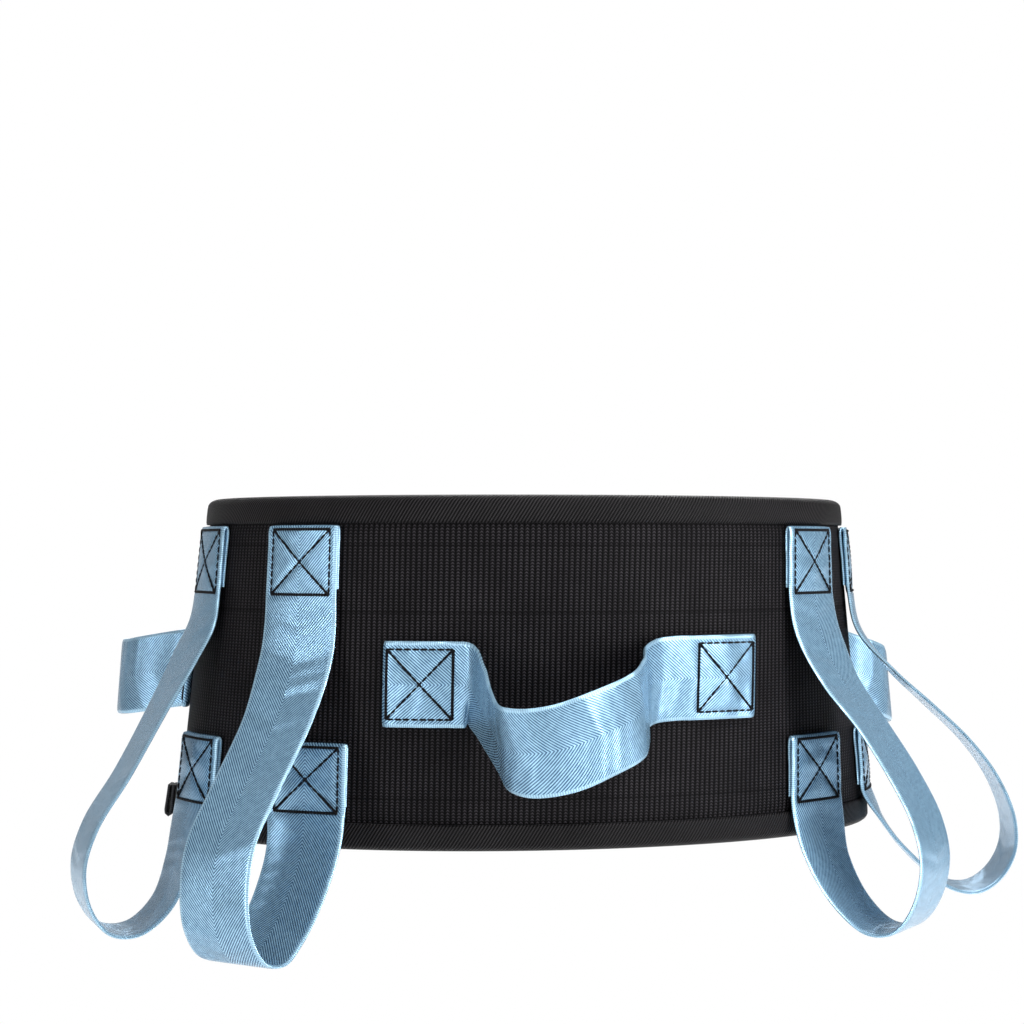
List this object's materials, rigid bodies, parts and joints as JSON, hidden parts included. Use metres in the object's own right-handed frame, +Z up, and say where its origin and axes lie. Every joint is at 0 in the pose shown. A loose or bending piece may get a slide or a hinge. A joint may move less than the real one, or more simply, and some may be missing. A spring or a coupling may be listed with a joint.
{
  "type": "gait belt",
  "caption": "Padded waist belt closed in a loop by a side-release buckle, with blue webbing hand loops sewn upright and level round its outside for steadying a walker.",
  "frame": {"origin": "middle of the closed loop, at half the belt's height", "axes": "+Z up along the wearer's spine, +Y to the wearer's front and the buckle, +X to the wearer's right along the loop's longer axis"},
  "size_m": [0.3859, 0.2498, 0.17],
  "materials": {
    "webbing_black": "woven, satin",
    "foam_grey": "soft",
    "liner_black": "knitted, matt",
    "tape_black": "woven twill",
    "strap_blue": "woven herringbone, satin",
    "thread_black": "satin",
    "plastic_black": "moulded, low gloss"
  },
  "bodies": {
    "root_panel": {"back_shell": "webbing_black", "back_foam_core": "foam_grey", "back_liner": "liner_black", "back_top_binding": "tape_black", "back_bottom_binding": "tape_black", "left_back_handle_upper_end": "strap_blue", "left_back_handle_upper_stitching": "thread_black", "left_back_handle_lower_end": "strap_blue", "left_back_handle_lower_stitching": "thread_black", "left_side_handle_upper_end": "strap_blue", "left_side_handle_upper_stitching": "thread_black", "left_side_handle_lower_end": "strap_blue", "left_side_handle_lower_stitching": "thread_black", "right_back_handle_upper_end": "strap_blue", "right_back_handle_upper_stitching": "thread_black", "right_back_handle_lower_end": "strap_blue", "right_back_handle_lower_stitching": "thread_black", "right_side_handle_upper_end": "strap_blue", "right_side_handle_upper_stitching": "thread_black", "right_side_handle_lower_end": "strap_blue", "right_side_handle_lower_stitching": "thread_black", "center_back_handle_first_end": "strap_blue", "center_back_handle_first_stitching": "thread_black", "center_back_handle_second_end": "strap_blue", "center_back_handle_second_stitching": "thread_black"},
    "left_arm": {"left_arm_shell": "webbing_black", "left_arm_foam_core": "foam_grey", "left_arm_liner": "liner_black", "left_arm_binding": "tape_black", "left_front_handle_first_end": "strap_blue", "left_front_handle_first_stitching": "thread_black", "left_front_handle_second_end": "strap_blue", "left_front_handle_second_stitching": "thread_black", "closure_strap": "webbing_black", "strap_keeper": "webbing_black", "lower_tab": "webbing_black"},
    "right_arm": {"right_arm_shell": "webbing_black", "right_arm_foam_core": "foam_grey", "right_arm_liner": "liner_black", "right_arm_binding": "tape_black", "right_front_handle_first_end": "strap_blue", "right_front_handle_first_stitching": "thread_black", "right_front_handle_second_end": "strap_blue", "right_front_handle_second_stitching": "thread_black", "buckle_female": "plastic_black", "female_tab": "webbing_black"},
    "left_back_loop": {"left_back_handle_loop": "strap_blue"},
    "left_side_loop": {"left_side_handle_loop": "strap_blue"},
    "right_back_loop": {"right_back_handle_loop": "strap_blue"},
    "right_side_loop": {"right_side_handle_loop": "strap_blue"},
    "center_back_loop": {"center_back_handle_loop": "strap_blue"},
    "left_front_loop": {"left_front_handle_loop": "strap_blue"},
    "right_front_loop": {"right_front_handle_loop": "strap_blue"},
    "male_half": {"buckle_male": "plastic_black", "closure_strap_tail": "webbing_black"},
    "upper_prong": {"buckle_upper_prong": "plastic_black"},
    "lower_prong": {"buckle_lower_prong": "plastic_black"}
  },
  "joints": [
    {"name": "left_back_swing", "type": "hinge", "parent": "root_panel", "child": "left_back_loop", "pos_m": [-0.10772, -0.08252, -0.05047], "axis": [-0.0425, -0.0423, 0.9982], "range_deg": [-20, 30]},
    {"name": "left_side_swing", "type": "hinge", "parent": "root_panel", "child": "left_side_loop", "pos_m": [-0.14966, -0.02761, -0.05106], "axis": [-0.0595, -0.0076, 0.9982], "range_deg": [-20, 30]},
    {"name": "right_back_swing", "type": "hinge", "parent": "root_panel", "child": "right_back_loop", "pos_m": [0.11277, -0.08021, -0.05], "axis": [0.0687, -0.0573, 0.996], "range_deg": [-30, 20]},
    {"name": "right_side_swing", "type": "hinge", "parent": "root_panel", "child": "right_side_loop", "pos_m": [0.15648, -0.03134, -0.04629], "axis": [0.0589, -0.0115, 0.9982], "range_deg": [-30, 20]},
    {"name": "center_back_lift", "type": "hinge", "parent": "root_panel", "child": "center_back_loop", "pos_m": [-0.00844, -0.12058, 0.00076], "axis": [-0.991, 0.0901, -0.0985], "range_deg": [0, 36]},
    {"name": "left_front_lift", "type": "hinge", "parent": "left_arm", "child": "left_front_loop", "pos_m": [-0.12448, 0.0709, 0.00829], "axis": [0.7031, 0.7108, 0.0224], "range_deg": [0, 26]},
    {"name": "right_front_lift", "type": "hinge", "parent": "right_arm", "child": "right_front_loop", "pos_m": [0.12853, 0.06624, 0.00676], "axis": [0.6925, -0.7213, -0.0139], "range_deg": [0, 35]},
    {"name": "left_arm_open", "type": "hinge", "parent": "root_panel", "child": "left_arm", "pos_m": [-0.1386, 0.0003, 0], "axis": [0.105, 0, 0.9945], "range_deg": [0, 40]},
    {"name": "right_arm_open", "type": "hinge", "parent": "root_panel", "child": "right_arm", "pos_m": [0.1386, 0.0003, 0], "axis": [-0.105, 0, 0.9945], "range_deg": [-40, 0]},
    {"name": "male_half_slide", "type": "slide", "parent": "left_arm", "child": "male_half", "axis": [-1, 0, 0], "range_m": [0, 0.008]},
    {"name": "upper_prong_flex", "type": "hinge", "parent": "male_half", "child": "upper_prong", "pos_m": [0.0035, 0.0955, 0.0145], "axis": [0, 1, 0], "range_deg": [0, 7], "stiffness_Nm_per_rad": 0.6},
    {"name": "lower_prong_flex", "type": "hinge", "parent": "male_half", "child": "lower_prong", "pos_m": [0.0035, 0.0955, -0.0145], "axis": [0, 1, 0], "range_deg": [-7, 0]}
  ],
  "couplings": [
    {"joint": "right_arm_open", "follows": "left_arm_open", "ratio": -1},
    {"joint": "lower_prong_flex", "follows": "upper_prong_flex", "ratio": -1}
  ]
}
